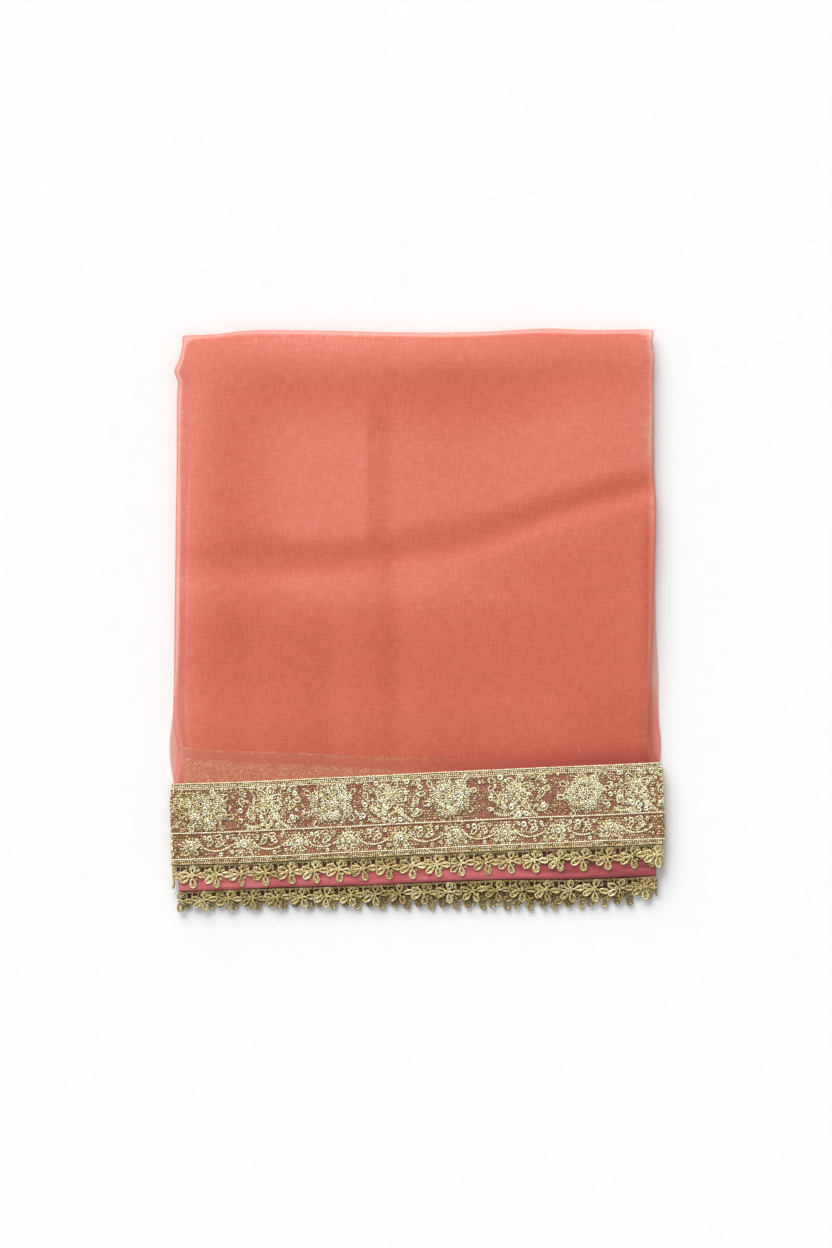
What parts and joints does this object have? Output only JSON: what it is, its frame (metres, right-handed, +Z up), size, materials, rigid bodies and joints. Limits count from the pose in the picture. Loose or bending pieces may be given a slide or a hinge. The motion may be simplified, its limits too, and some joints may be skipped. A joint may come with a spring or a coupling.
{
  "type": "folded dupatta stole",
  "caption": "Sheer coral dupatta folded into a flat pack, with an embroidered gold border and scalloped lace along its lower edges.",
  "frame": {"origin": "centre of the bounding box on the surface that the folded stole rests on", "axes": "+X along the border, +Y from the lace edge to the top fold, +Z up from the surface"},
  "size_m": [0.4278, 0.5019, 0.0143],
  "materials": {
    "coral_cloth": "sheer organza with a soft sheen",
    "inner_cloth": "sheer organza folded in layers",
    "border_net": "embroidered net with sequins and metallic thread",
    "rose_cloth": "satin sheen",
    "gold_cord": "metallic gold guipure cord"
  },
  "bodies": {
    "root": {"folded_stack": "inner_cloth", "top_ply": "coral_cloth", "gold_border": "border_net", "rose_hem": "rose_cloth", "upper_lace": "gold_cord", "lower_lace": "gold_cord", "floor_lace": "gold_cord"}
  },
  "joints": []
}
